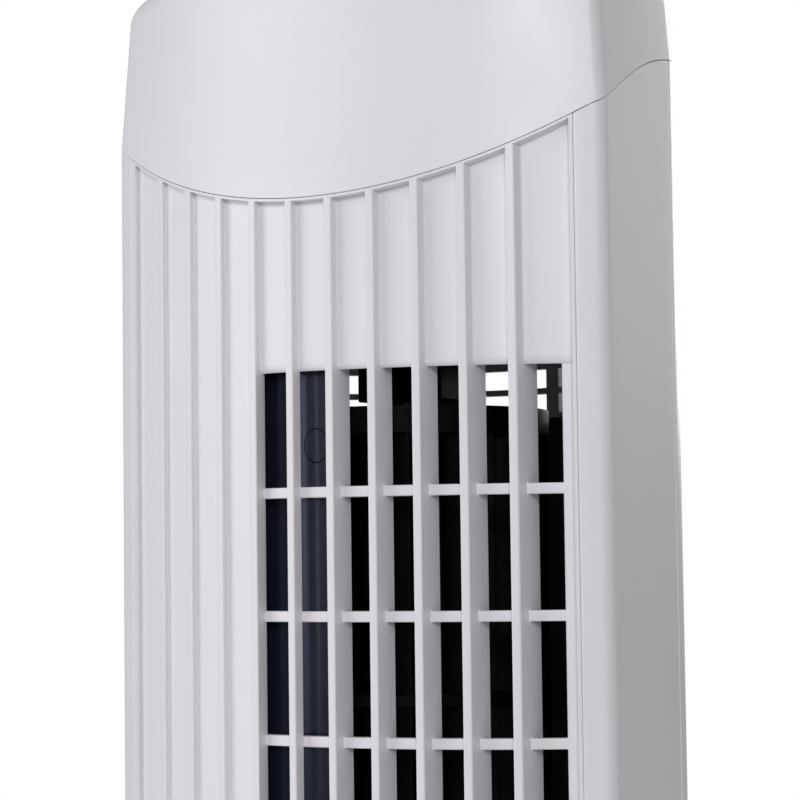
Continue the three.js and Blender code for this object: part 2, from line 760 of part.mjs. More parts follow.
place(towerGroup, "motor_housing", makeMotorHousing(), "steel");
place(towerGroup, "motor_cover", makeMotorCover(), "aluminium");
place(impellerGroup, "motor_rotor", makeMotorRotor(), "steel");
const capacitor = box([-58, -20], [-38, -20], [turntableTopZ + gap, 76]);
place(towerGroup, "run_capacitor", capacitor, "darkPlastic");

// ---- Wiring from the board to the motor ----

const loomX = 61.5;

function makeWiringLoom() {
  const route = new THREE.CatmullRomCurve3([
    new THREE.Vector3(-loomX, -2, 866),
    new THREE.Vector3(-loomX, -3, 840),
    new THREE.Vector3(-loomX, -8, 780),
    new THREE.Vector3(-loomX, -10, 440),
    new THREE.Vector3(-loomX, -8, 200),
    new THREE.Vector3(-loomX, -8, 130),
    new THREE.Vector3(-50, -16, 82),
  ]);
  const section = new THREE.Shape();
  section.absarc(0, 0, 2.4, 0, 2 * Math.PI, false);
  return solid(new THREE.ExtrudeGeometry(section, { steps: 20, extrudePath: route, curveSegments: 3 }));
}

place(towerGroup, "wiring_loom", makeWiringLoom(), "cable");

export default fan;
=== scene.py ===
import json
import math

import bmesh
import bpy
from mathutils import Matrix, Vector


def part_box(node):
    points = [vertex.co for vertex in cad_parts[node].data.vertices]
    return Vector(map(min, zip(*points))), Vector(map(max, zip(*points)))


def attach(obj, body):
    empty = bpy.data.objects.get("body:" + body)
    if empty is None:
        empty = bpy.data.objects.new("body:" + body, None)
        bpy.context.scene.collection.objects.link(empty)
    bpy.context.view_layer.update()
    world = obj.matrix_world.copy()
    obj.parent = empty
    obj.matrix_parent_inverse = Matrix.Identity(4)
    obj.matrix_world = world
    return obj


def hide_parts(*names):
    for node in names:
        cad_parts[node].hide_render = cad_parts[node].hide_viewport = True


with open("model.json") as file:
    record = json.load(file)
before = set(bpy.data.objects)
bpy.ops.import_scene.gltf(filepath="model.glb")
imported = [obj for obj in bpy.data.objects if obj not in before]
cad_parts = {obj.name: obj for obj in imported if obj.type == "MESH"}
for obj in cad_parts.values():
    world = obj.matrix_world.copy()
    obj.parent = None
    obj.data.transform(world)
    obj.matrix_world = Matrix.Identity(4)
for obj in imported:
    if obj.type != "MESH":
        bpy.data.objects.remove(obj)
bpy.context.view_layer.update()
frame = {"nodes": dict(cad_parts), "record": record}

# Looks for the tower fan. Shapes are worked out in millimetres in the CAD frame, +Z up and the
# front towards -Y, and become metres when a mesh is made.

MM = 0.001


def node_range(node, axis):
    """Where a CAD node begins and ends along an axis, in millimetres."""
    low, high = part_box(node)
    return low[axis] / MM, high[axis] / MM


def node_middle(node, axis):
    low, high = node_range(node, axis)
    return (low + high) / 2


# ---- Driving dimensions ----
# Joints, inlet slots, stabiliser and impeller are finer here than in the CAD model, within it.

FAN_HEIGHT = node_range("top_cap", 2)[1]
HALF_WIDTH = node_range("front_shell", 0)[1]
FACE_Y = node_range("front_shell", 1)[0]
REAR_Y = node_range("rear_shell", 1)[1]
SHELL_BOTTOM = node_range("front_shell", 2)[0]
GRILLE_BOTTOM = node_range("front_grille", 2)[0]
BASE_RADIUS = node_range("base_cover", 0)[1]
IMPELLER_BOTTOM, IMPELLER_TOP = node_range("impeller", 2)
IMPELLER_RADIUS = node_range("impeller", 0)[1]

FACE_RADIUS = 147.5
SEAM_Y = 9.5
FRONT_CORNER = 5
REAR_CORNER = 22
WALL = 2.5
GAP = 0.4
RIB_PITCH = 13
RIB_WIDTH = 2.4
RIB_TIP = 0.45
COLUMNS = 11
FIRST_OPEN_RIB = 4
FIRST_DEEP_RIB = 6
RIB_BACK_DEPTH = 10.2
RIB_BACK_RADIUS = 120
PANEL_DEPTH = 3.0
PANEL_TURN = 0.018
PANEL_THICKNESS = 1.5
BAR_SETBACK = 1.3
BAR_PITCH = 35.4
BAR_HEIGHT = 3.1
BAR_DEPTH = 3
BAR_COUNT = 15
TOP_BAR = 730
OPENING_MARGIN = 34.6
OPENING_RIGHT = 69
INSERT_HALF = 74.4
RIM_LEFT = 2.4
RIM_RIGHT = 1.0
RIM_TOP = 0.8
RIM_BOTTOM = 2.9
SEAM_FRONT = 814.4
SEAM_REAR = 859
SEAM_CORNER = 23
CAP_DRAFT = 0.07
CAP_ROUND = 9
CROWN_RADIUS = 700
CROWN_Y = -35
SEAM_HALF_GAP = 0.11
RIM_GAP = 0.03
SCREW_FLOOR = 18.5
SCREW_POCKET_RADIUS = 4.1
SCREW_BORE_RADIUS = 1.9
SCREW_HEAD_RADIUS = 3.6
SCREW_HEAD_HEIGHT = 2.4
SCREW_SHANK_RADIUS = 1.5
BUTTON_BORE_RADIUS = 6.4
RING_BORES = {"slide_ring": 50.5, "pivot_retainer": 6.9}
IMPELLER_Y = -4
BLADES = 30
SECTIONS = 7
END_RING = 3
TOP_RING = 8
RING_DEPTH = 10
INLET_TOP = 771.7
INLET_PITCH = 8.1
INLET_SLOT = 6.1
INLET_ROWS = 70
INLET_COLUMNS = [(-56, -21.5), (-16.5, 16.5), (21.5, 56)]
# Plan curves of the duct walls: sideways place, and depth behind the middle of the face.
STABILISER = [(-26, 11), (-15, 11.9), (-8.5, 12.4), (-3, 11.2), (2.4, 9.8), (5.2, 12.6)]
SCROLL = [(68.5, 28), (65, 43), (57.5, 66), (45, 86), (26.5, 100)]
DUCT_THICKNESS = 2
SHARP_ANGLE = 38  # degrees

FACE_CENTRE_Y = FACE_Y + FACE_RADIUS
OPENING_TOP = TOP_BAR + OPENING_MARGIN
OPENING_BOTTOM = TOP_BAR - (BAR_COUNT - 1) * BAR_PITCH - OPENING_MARGIN

button_nodes = ["power_button", "speed_button", "swing_button", "timer_button"]
shell_screws = sorted(node for node in frame["nodes"] if node.startswith("shell_screw"))


# ---- Plane geometry ----

def spread(start, end, steps):
    """Evenly spaced numbers, both ends among them."""
    return [start + (end - start) * i / steps for i in range(steps + 1)]


def arc(centre_x, centre_y, radius, start, end, steps):
    """Points along an arc, from one angle to another."""
    return [(centre_x + radius * math.cos(angle), centre_y + radius * math.sin(angle))
            for angle in spread(start, end, steps)]


def box_outline(left, right, front, back):
    """A rectangle in plan, anticlockwise."""
    return [(left, front), (right, front), (right, back), (left, back)]


def without_repeats(points, nearest=0.01):
    """Points without those that lie on the one before."""
    kept = []
    for point in points:
        if not kept or math.dist(point, kept[-1]) > nearest:
            kept.append(point)
    if len(kept) > 2 and math.dist(kept[0], kept[-1]) <= nearest:
        kept.pop()
    return kept


def filleted(points, radius, steps=4, closed=True):
    """An outline with its corners rounded. The radius is cut back where an edge is short."""
    nearly_straight = math.radians(172)
    rounded = []
    count = len(points)
    for i, corner in enumerate(points):
        if not closed and i in (0, count - 1):
            rounded.append(tuple(corner))
            continue
        before = Vector(points[i - 1]) - Vector(corner)
        after = Vector(points[(i + 1) % count]) - Vector(corner)
        opening = before.angle(after)
        if opening > nearly_straight:
            rounded.append(tuple(corner))
            continue
        reach = min(radius / math.tan(opening / 2), before.length * 0.48, after.length * 0.48)
        start = Vector(corner) + before.normalized() * reach
        end = Vector(corner) + after.normalized() * reach
        for step in range(steps + 1):
            t = step / steps
            bend = start * (1 - t) ** 2 + Vector(corner) * 2 * t * (1 - t) + end * t ** 2
            rounded.append(tuple(bend))
    return rounded


def smooth_path(points, steps):
    """A Catmull-Rom curve through a few points."""
    path = []
    spans = len(points) - 1
    for i in range(steps + 1):
        place = i / steps * spans
        span = min(int(place), spans - 1)
        t = place - span
        p1, p2 = Vector(points[span]), Vector(points[span + 1])
        p0 = Vector(points[max(span - 1, 0)])
        p3 = Vector(points[min(span + 2, spans)])
        turn = p1 * 2 + (p2 - p0) * t
        turn += (p0 * 2 - p1 * 5 + p2 * 4 - p3) * t ** 2
        turn += (p1 * 3 - p0 - p2 * 3 + p3) * t ** 3
        path.append(tuple(turn / 2))
    return path


def rib_x(index):
    return (index - COLUMNS / 2) * RIB_PITCH


OPENING_LEFT = rib_x(FIRST_OPEN_RIB) + RIB_WIDTH / 2


def face_at(x):
    """Where the bowed face lies at a sideways place."""
    return FACE_CENTRE_Y - math.sqrt(FACE_RADIUS ** 2 - x ** 2)


def panel_at(x):
    """Where the front of the closed panel lies. It sinks a little towards the right."""
    return face_at(x) + PANEL_DEPTH + PANEL_TURN * x


def rib_back_at(x):
    """Where the deep ribs end."""
    return FACE_Y + RIB_BACK_DEPTH + RIB_BACK_RADIUS - math.sqrt(RIB_BACK_RADIUS ** 2 - x ** 2)


def corner_centre():
    """The front corner's centre, and the angle that its arc turns through."""
    x = HALF_WIDTH - FRONT_CORNER
    y = FACE_CENTRE_Y - math.sqrt((FACE_RADIUS - FRONT_CORNER) ** 2 - x ** 2)
    return x, y, math.atan2(FACE_CENTRE_Y - y, x)


def mirrored(path):
    """A path on the other side of the fan, run the other way."""
    return [(-x, y) for x, y in reversed(path)]


def front_path(inner_x, inset=0.0):
    """The right half of the front shell in plan, from a place on the face back to the seam."""
    x, y, angle = corner_centre()
    radius = FACE_RADIUS - inset
    start = -math.acos(inner_x / radius)
    steps = 6 if inner_x > HALF_WIDTH / 2 else 24
    face = arc(0, FACE_CENTRE_Y, radius, start, -angle, steps)
    corner = arc(x, y, FRONT_CORNER - inset, -angle, 0, 8)
    side = [(HALF_WIDTH - inset, place) for place in spread(y, SEAM_Y, 6)]
    return without_repeats(face + corner + side)


def rear_circle():
    """Centre and radius of the rounded back, and the angle where it meets the rear corner."""
    corner_x = HALF_WIDTH - REAR_CORNER
    reach = REAR_Y - REAR_CORNER
    centre = (corner_x ** 2 + SEAM_Y ** 2 - reach ** 2) / (2 * (SEAM_Y - reach))
    return centre, REAR_Y - centre, math.atan2(SEAM_Y - centre, corner_x)


def rear_path(inset=0.0, breaks=()):
    """The back in plan, from the right seam round to the left one, with a point at each break."""
    clearance = 1.2
    centre, radius, angle = rear_circle()
    radius -= inset
    corner_x = HALF_WIDTH - REAR_CORNER
    angles = set(spread(angle, math.pi - angle, 30))
    angles = {a for a in angles if all(abs(radius * math.cos(a) - x) > clearance for x in breaks)}
    angles |= {math.acos(x / radius) for x in breaks}
    back = [(radius * math.cos(a), centre + radius * math.sin(a)) for a in sorted(angles)]
    right = arc(corner_x, SEAM_Y, REAR_CORNER - inset, 0, angle, 8)
    return without_repeats(right + back + mirrored(right))


def body_outline(inset=0.0):
    """The whole outline of the tower in plan, from the right seam round to it again."""
    front = front_path(0.5, inset)
    return without_repeats(rear_path(inset) + mirrored(front) + front)


def bezier(p0, p1, p2, p3, t):
    u = 1 - t
    return p0 * u ** 3 + p1 * 3 * u ** 2 * t + p2 * 3 * u * t ** 2 + p3 * t ** 3


def make_seam_curve():
    """The cap seam from the side, front to back: a slope, then an S up to the level rear part."""
    beyond = 20
    corner_y = FACE_Y + SEAM_CORNER
    corner_z = SEAM_FRONT + SEAM_CORNER
    ends = [Vector((corner_y, corner_z)), Vector((corner_y + 26, corner_z + 14)),
            Vector((corner_y + 36, SEAM_REAR)), Vector((SEAM_Y + 20, SEAM_REAR))]
    rise = [tuple(bezier(*ends, t)) for t in spread(0, 1, 24)]
    return [(FACE_Y - beyond, SEAM_FRONT - beyond), *rise, (REAR_Y + beyond, SEAM_REAR)]


SEAM_CURVE = make_seam_curve()


def seam_at(y):
    """Height of the cap seam at a front-to-back place."""
    for (y0, z0), (y1, z1) in zip(SEAM_CURVE, SEAM_CURVE[1:]):
        if y <= y1:
            return z0 + (z1 - z0) * (y - y0) / (y1 - y0)
    return SEAM_REAR


# ---- Mesh building ----

def new_object(name, data):
    obj = bpy.data.objects.new(name, data)
    bpy.context.scene.collection.objects.link(obj)
    return obj


class Shape:
    """Vertices in millimetres and faces, gathered from several closed forms."""

    def __init__(self):
        self.points = []
        self.faces = []

    def add(self, points, faces):
        first = len(self.points)
        self.points += points
        self.faces += [tuple(first + i for i in face) for face in faces]

    def prism(self, outline, z_low, z_high):
        """An anticlockwise outline raised between two heights."""
        count = len(outline)
        points = [(x, y, z_low) for x, y in outline] + [(x, y, z_high) for x, y in outline]
        faces = [tuple(reversed(range(count))), tuple(range(count, 2 * count))]
        for i in range(count):
            j = (i + 1) % count
            faces.append((i, j, count + j, count + i))
        self.add(points, faces)

    def lathe(self, profile, x=0.0, y=0.0, sides=64, lying=None):
        """A closed (radius, z) profile turned about an upright axis, or one along Y at a height."""
        on_axis = 1e-6
        rings = []
        points = []
        for radius, z in profile:
            if radius < on_axis:
                rings.append([len(points)] * sides)
                points.append((0.0, 0.0, z))
                continue
            rings.append(list(range(len(points), len(points) + sides)))
            for i in range(sides):
                angle = 2 * math.pi * i / sides
                points.append((radius * math.cos(angle), radius * math.sin(angle), z))
        faces = []
        pairs = list(zip(rings, rings[1:]))
        if profile[0][0] > on_axis:
            pairs.append((rings[-1], rings[0]))
        for low, high in pairs:
            for i in range(sides):
                j = (i + 1) % sides
                face = [low[i], low[j], high[j], high[i]]
                face = [p for k, p in enumerate(face) if p not in face[:k]]
                if len(face) > 2:
                    faces.append(tuple(face))
        if lying is None:
            placed = [(px + x, py + y, pz) for px, py, pz in points]
        else:
            placed = [(px + x, pz, lying - py) for px, py, pz in points]
        self.add(placed, faces)

    def rings(self, loops, closed_ends=False):
        """Loops of the same number of points, joined one to the next."""
        count = len(loops[0])
        points = [point for loop in loops for point in loop]
        faces = []
        for level in range(len(loops) - 1):
            for i in range(count):
                j = (i + 1) % count
                low, high = level * count, (level + 1) * count
                faces.append((low + i, low + j, high + j, high + i))
        if closed_ends:
            last = (len(loops) - 1) * count
            faces.append(tuple(reversed(range(count))))
            faces.append(tuple(last + i for i in range(count)))
        self.add(points, faces)

    def sheet(self, columns, keep=lambda column, row: True):
        """A grid of points, column by column, without the cells that keep turns down."""
        rows = len(columns[0])
        points = [point for column in columns for point in column]
        faces = []
        for c in range(len(columns) - 1):
            for r in range(rows - 1):
                if keep(c, r):
                    corner = c * rows + r
                    faces.append((corner, corner + rows, corner + rows + 1, corner + 1))
        self.add(points, faces)

    def piece(self, name):
        """Makes the Blender object, in metres, with points that coincide joined."""
        mesh = bpy.data.meshes.new(name)
        mesh.from_pydata([tuple(c * MM for c in p) for p in self.points], [], self.faces)
        obj = new_object(name, mesh)
        work = bmesh.new()
        work.from_mesh(mesh)
        bmesh.ops.remove_doubles(work, verts=work.verts, dist=0.002 * MM)
        bmesh.ops.dissolve_degenerate(work, dist=0.001 * MM, edges=work.edges)
        loose = [v for v in work.verts if not v.link_faces]
        bmesh.ops.delete(work, geom=loose, context="VERTS")
        work.to_mesh(mesh)
        work.free()
        return obj


def turned(name, profile, **settings):
    """A piece that is one turned form."""
    shape = Shape()
    shape.lathe(profile, **settings)
    return shape.piece(name)


def modify(obj, kind, **settings):
    modifier = obj.modifiers.new(kind.lower(), kind)
    for key, value in settings.items():
        setattr(modifier, key, value)


def thicken(obj, thickness):
    """Gives a sheet a wall behind its outer face."""
    modify(obj, "SOLIDIFY", thickness=thickness * MM, offset=-1, use_even_offset=True,
           use_quality_normals=True)


def soften(obj, width, segments=3):
    """Rounds the sharp edges."""
    modify(obj, "BEVEL", width=width * MM, segments=segments, limit_method="ANGLE",
           angle_limit=math.radians(40), use_clamp_overlap=True)


def cut(obj, shape):
    """Takes a closed shape away from a piece."""
    tool = shape.piece("cutter")
    modify(obj, "BOOLEAN", operation="DIFFERENCE", solver="EXACT", object=tool)
    apply_modifiers(obj)
    bpy.data.objects.remove(tool)


def apply_modifiers(obj):
    """Puts the finished shape in the mesh itself."""
    graph = bpy.context.evaluated_depsgraph_get()
    graph.update()
    finished = bpy.data.meshes.new_from_object(obj.evaluated_get(graph))
    obj.modifiers.clear()
    obj.data = finished


def dress(obj, slot, body, nodes=(), look=None):
    """Bakes a piece's modifiers, shades it, and puts it on its body in place of CAD nodes."""
    apply_modifiers(obj)
    obj.data.materials.clear()
    obj.data.materials.append(look or looks[slot])
    for polygon in obj.data.polygons:
        polygon.use_smooth = True
    obj.data.set_sharp_from_angle(angle=math.radians(SHARP_ANGLE))
    modify(obj, "WEIGHTED_NORMAL", keep_sharp=True, weight=60)
    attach(obj, body)
    if nodes:
        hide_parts(*nodes)


# ---- Materials ----

class Nodes:
    """A material's node tree, with short names for the nodes it is built from."""

    def __init__(self, name):
        self.material = bpy.data.materials.new(name)
        self.material.use_nodes = True
        self.tree = self.material.node_tree
        self.shader = self.tree.nodes["Principled BSDF"]
        self.place = self.add("ShaderNodeTexCoord").outputs["Object"]

    def feed(self, node, inputs):
        """Joins each input to another node's output, or sets it to a value."""
        for key, value in inputs.items():
            if isinstance(value, bpy.types.NodeSocket):
                self.tree.links.new(value, node.inputs[key])
            else:
                node.inputs[key].default_value = value

    def add(self, kind, inputs=(), **settings):
        node = self.tree.nodes.new(kind)
        for key, value in settings.items():
            setattr(node, key, value)
        self.feed(node, dict(inputs))
        return node

    def stretched(self, scale):
        """Object coordinates scaled by a different number along each axis."""
        node = self.add("ShaderNodeMapping", {"Scale": scale, "Vector": self.place})
        return node.outputs["Vector"]

    def noise(self, scale, detail=3.0, rough=0.55, vector=None):
        inputs = {"Scale": scale, "Detail": detail, "Roughness": rough}
        node = self.add("ShaderNodeTexNoise", {**inputs, "Vector": vector or self.place})
        return node.outputs["Fac"]

    def between(self, factor, low, high):
        """A number that goes from low to high as a texture does."""
        inputs = {"From Min": 0.3, "From Max": 0.7, "To Min": low, "To Max": high}
        return self.add("ShaderNodeMapRange", {**inputs, "Value": factor}).outputs["Result"]

    def shades(self, factor, dark, light, start=0.3, end=0.7):
        """A colour that goes from dark to light as a texture does."""
        node = self.add("ShaderNodeValToRGB", {"Fac": factor})
        stops = node.color_ramp.elements
        for stop, position, colour in zip(stops, (start, end), (dark, light)):
            stop.position = position
            stop.color = (*colour, 1)
        return node.outputs["Color"]

    def blend(self, share, first, second):
        """The first colour with a share of the second mixed in."""
        inputs = {"Factor": share, 6: first, 7: second}
        return self.add("ShaderNodeMix", inputs, data_type="RGBA").outputs[2]

    def bump(self, height, depth, strength=1.0, before=None):
        """Surface relief, with its depth in millimetres, on top of any relief before it."""
        inputs = {"Strength": strength, "Distance": depth * MM, "Height": height}
        if before:
            inputs["Normal"] = before
        return self.add("ShaderNodeBump", inputs).outputs["Normal"]

    def finish(self, colour, roughness, normal, **sockets):
        """Joins the shader up, and sets its uniform values on its own sockets."""
        self.feed(self.shader, {"Base Color": colour, "Roughness": roughness, "Normal": normal})
        self.feed(self.shader, {key.replace("_", " "): value for key, value in sockets.items()})
        return self.material


def tinted(colour, factor):
    return tuple(min(c * factor, 1.0) for c in colour)


def moulded(name, colour, roughness, grain, depth, uneven, **sockets):
    """Moulded plastic: faint flow clouding, a fine spark-eroded grain and uneven gloss."""
    n = Nodes(name)
    light = tinted(colour, 1 + uneven)
    clouds = n.shades(n.noise(14, 4), tinted(colour, 1 - uneven), light)
    specks = n.shades(n.noise(grain * 0.6, 2), tinted(colour, 1 - uneven * 1.5), light)
    gloss = n.between(n.noise(26, 5), roughness * 0.9, roughness * 1.12)
    fine = n.bump(n.noise(grain, 2, 0.6), depth)
    waves = n.bump(n.noise(22, 2), depth * 6, 0.5, fine)
    return n.finish(n.blend(0.35, clouds, specks), gloss, waves, **sockets)


UPRIGHT_RIPPLES = (260, 260, 5)


def dark_duct(name, colour):
    """Black moulding with long drawn ripples and a little dust."""
    n = Nodes(name)
    streaks = n.noise(1.0, 3, 0.5, n.stretched(UPRIGHT_RIPPLES))
    dust = n.noise(900, 3, 0.7)
    shade = n.shades(dust, colour, tinted(colour, 2.0), 0.62, 0.8)
    gloss = n.between(streaks, 0.42, 0.56)
    ripples = n.bump(streaks, 0.08, 0.5)
    return n.finish(shade, gloss, ripples, Specular_IOR_Level=0.15)


def polished_duct(name, colour):
    """Polished blue-black moulding with long drawn ripples."""
    n = Nodes(name)
    streaks = n.noise(1.0, 3, 0.5, n.stretched(UPRIGHT_RIPPLES))
    shade = n.shades(streaks, tinted(colour, 0.85), tinted(colour, 1.2))
    gloss = n.between(streaks, 0.2, 0.3)
    ripples = n.bump(streaks, 0.1, 0.5)
    blue = (0.6, 0.7, 1.0, 1)
    return n.finish(shade, gloss, ripples, Specular_IOR_Level=0.4, Specular_Tint=blue)


def brushed_metal(name, colour, roughness, stretch=(900, 900, 30)):
    """Metal with fine drawn lines and slight staining."""
    n = Nodes(name)
    lines = n.noise(1.0, 3, 0.6, n.stretched(stretch))
    stains = n.shades(n.noise(60, 4), tinted(colour, 0.86), tinted(colour, 1.05))
    gloss = n.between(lines, roughness * 0.8, roughness * 1.3)
    return n.finish(stains, gloss, n.bump(lines, 0.02, 0.6), Metallic=1.0)


def cast_finish(name, colour):
    """Black paint over rough cast iron."""
    n = Nodes(name)
    pits = n.noise(420, 5, 0.7)
    shade = n.shades(pits, tinted(colour, 0.7), tinted(colour, 1.5))
    gloss = n.between(n.noise(90, 3), 0.45, 0.7)
    return n.finish(shade, gloss, n.bump(pits, 0.25, 0.7))


def circuit_board(name):
    """Green solder mask with the paler tracks that run under it."""
    n = Nodes(name)
    tracks = n.add("ShaderNodeTexBrick", {
        "Scale": 260, "Color1": (0.012, 0.11, 0.035, 1), "Color2": (0.014, 0.13, 0.042, 1),
        "Mortar": (0.05, 0.24, 0.09, 1), "Vector": n.place})
    gloss = n.between(n.noise(200, 2), 0.25, 0.4)
    return n.finish(tracks.outputs["Color"], gloss, n.bump(tracks.outputs["Fac"], 0.03, 0.5))


def sleeve(name, colour):
    """Braided cable sleeve."""
    n = Nodes(name)
    inputs = {"Scale": 420, "Distortion": 1.0, "Vector": n.place}
    braid = n.add("ShaderNodeTexWave", inputs, wave_type="BANDS", bands_direction="DIAGONAL")
    shade = n.shades(braid.outputs["Fac"], tinted(colour, 0.6), tinted(colour, 1.6))
    gloss = n.between(n.noise(300, 2), 0.5, 0.65)
    return n.finish(shade, gloss, n.bump(braid.outputs["Fac"], 0.2, 0.6))


# After its name and colour, moulded takes roughness, grain scale, grain depth and unevenness.
looks = {
    "shell_white": moulded("shell_plastic", (0.80, 0.79, 0.815), 0.36, 1500, 0.012, 0.012,
                           Specular_IOR_Level=0.45),
    "duct_black": dark_duct("duct_plastic", (0.003, 0.003, 0.0036)),
    "impeller_black": moulded("impeller_plastic", (0.0016, 0.0015, 0.0018), 0.6, 1200, 0.02, 0.15,
                              Specular_IOR_Level=0.08),
    "control_grey": moulded("control_plastic", (0.33, 0.335, 0.355), 0.42, 1900, 0.03, 0.04),
    "button_grey": moulded("button_plastic", (0.10, 0.105, 0.115), 0.3, 1600, 0.015, 0.05),
    "board_green": circuit_board("solder_mask"),
    "rubber_black": moulded("rubber", (0.017, 0.017, 0.018), 0.78, 1300, 0.05, 0.18),
    "dark_plastic": moulded("dark_moulding", (0.03, 0.03, 0.034), 0.5, 1200, 0.03, 0.12),
    "nylon_natural": moulded("nylon", (0.62, 0.59, 0.50), 0.45, 900, 0.02, 0.05),
    "steel": brushed_metal("zinc_steel", (0.55, 0.56, 0.58), 0.34),
    "weight_iron": cast_finish("painted_iron", (0.016, 0.016, 0.018)),
    "aluminium": brushed_metal("cast_aluminium", (0.66, 0.67, 0.69), 0.42, (240, 240, 240)),
    "cable_black": sleeve("cable_sleeve", (0.02, 0.02, 0.023)),
}
stabiliser_gloss = polished_duct("stabiliser_plastic", (0.008, 0.009, 0.02))
mark_white = moulded("mark_ink", (0.72, 0.72, 0.73), 0.5, 1400, 0.01, 0.04)


# ---- Shells ----

def with_ends_at(y, path):
    """A plan path whose ends are moved to a front-to-back place."""
    return [(path[0][0], y), *path[1:-1], (path[-1][0], y)]


def make_front_shell():
    top_band = SEAM_FRONT - 60
    half = front_path(INSERT_HALF + RIM_GAP)
    left = mirrored(half)
    middle = [(x, face_at(x)) for x in spread(left[-1][0], half[0][0], 40)][1:-1]
    plan = with_ends_at(SEAM_Y - GAP / 2, left + middle + half)
    sill = GRILLE_BOTTOM - RIM_GAP
    columns = []
    for x, y in plan:
        top = seam_at(y) - SEAM_HALF_GAP
        columns.append([(x, y, z) for z in (SHELL_BOTTOM, sill, top_band, top)])
    window = range(len(left) - 1, len(left) + len(middle))
    shape = Shape()
    shape.sheet(columns, lambda column, row: row == 0 or column not in window)
    shell = shape.piece("front_surround")
    thicken(shell, WALL)
    soften(shell, 0.45)
    dress(shell, "shell_white", "tower", ["front_shell"])


def make_rim_rebates():
    """Narrow ledges behind the side joints of the grille, which close them to the light."""
    half_width, depth, setback = 0.9, 1.6, 0.5
    ledges = Shape()
    for side in (-1, 1):
        middle = side * (INSERT_HALF + RIM_GAP / 2)
        front = face_at(middle) + setback
        outline = box_outline(middle - half_width, middle + half_width, front, front + depth)
        ledges.prism(outline, GRILLE_BOTTOM + 1, seam_at(front) - 1.5)
    obj = ledges.piece("grille_rebates")
    soften(obj, 0.1, 2)
    dress(obj, "shell_white", "tower")


def inlet_rows():
    """Heights of the slot edges, from the lowest up."""
    edges = []
    for row in reversed(range(INLET_ROWS)):
        top = INLET_TOP - row * INLET_PITCH
        edges += [top - INLET_SLOT, top]
    return edges


def make_rear_shell():
    above_inlet, outside = 800, 60
    breaks = [x for pair in INLET_COLUMNS for x in pair]
    plan = with_ends_at(SEAM_Y + GAP / 2, rear_path(0, breaks))
    edges = inlet_rows()
    columns = []
    for x, y in plan:
        heights = [SHELL_BOTTOM, *edges, above_inlet, seam_at(y) - SEAM_HALF_GAP]
        columns.append([(x, y, z) for z in heights])

    def solid_cell(column, row):
        middle = (plan[column][0] + plan[column + 1][0]) / 2
        in_slot_column = any(low < middle < high for low, high in INLET_COLUMNS)
        in_slot_row = 1 <= row <= len(edges) - 1 and row % 2 == 1
        return not (in_slot_column and in_slot_row)

    shape = Shape()
    shape.sheet(columns, solid_cell)
    shell = shape.piece("rear_housing")
    thicken(shell, WALL)
    soften(shell, 0.3, 2)
    apply_modifiers(shell)
    pockets = Shape()
    for node in shell_screws:
        profile = box_outline(0, SCREW_POCKET_RADIUS, SCREW_FLOOR, outside)
        pockets.lathe(profile, x=node_middle(node, 0), sides=40, lying=node_middle(node, 2))
    cut(shell, pockets)
    dress(shell, "shell_white", "tower", ["rear_shell"])


def make_screw_cups():
    """The bosses that the shell screws sit in, joined to the rear shell from inside."""
    outer = 5.6
    front, rim = SEAM_Y + 0.3, SCREW_FLOOR + 0.7
    profile = [(SCREW_BORE_RADIUS, front), (outer, front), (outer, rim), (SCREW_POCKET_RADIUS, rim),
               (SCREW_POCKET_RADIUS, SCREW_FLOOR), (SCREW_BORE_RADIUS, SCREW_FLOOR)]
    cups = Shape()
    for node in shell_screws:
        cups.lathe(profile, x=node_middle(node, 0), sides=32, lying=node_middle(node, 2))
    dress(cups.piece("screw_bosses"), "shell_white", "tower")


def make_turntable():
    bottom, top = node_range("turntable", 2)
    plate_bottom, lap = 44.4, 0.4
    bore, outer = 49.5, 57.5
    shape = Shape()
    shape.prism(body_outline(WALL + GAP), plate_bottom, top)
    shape.lathe(filleted(box_outline(bore, outer, bottom, plate_bottom + lap), 0.8), sides=96)
    obj = shape.piece("turntable_plate")
    soften(obj, 0.4)
    dress(obj, "shell_white", "tower", ["turntable"])


# ---- Front grille ----

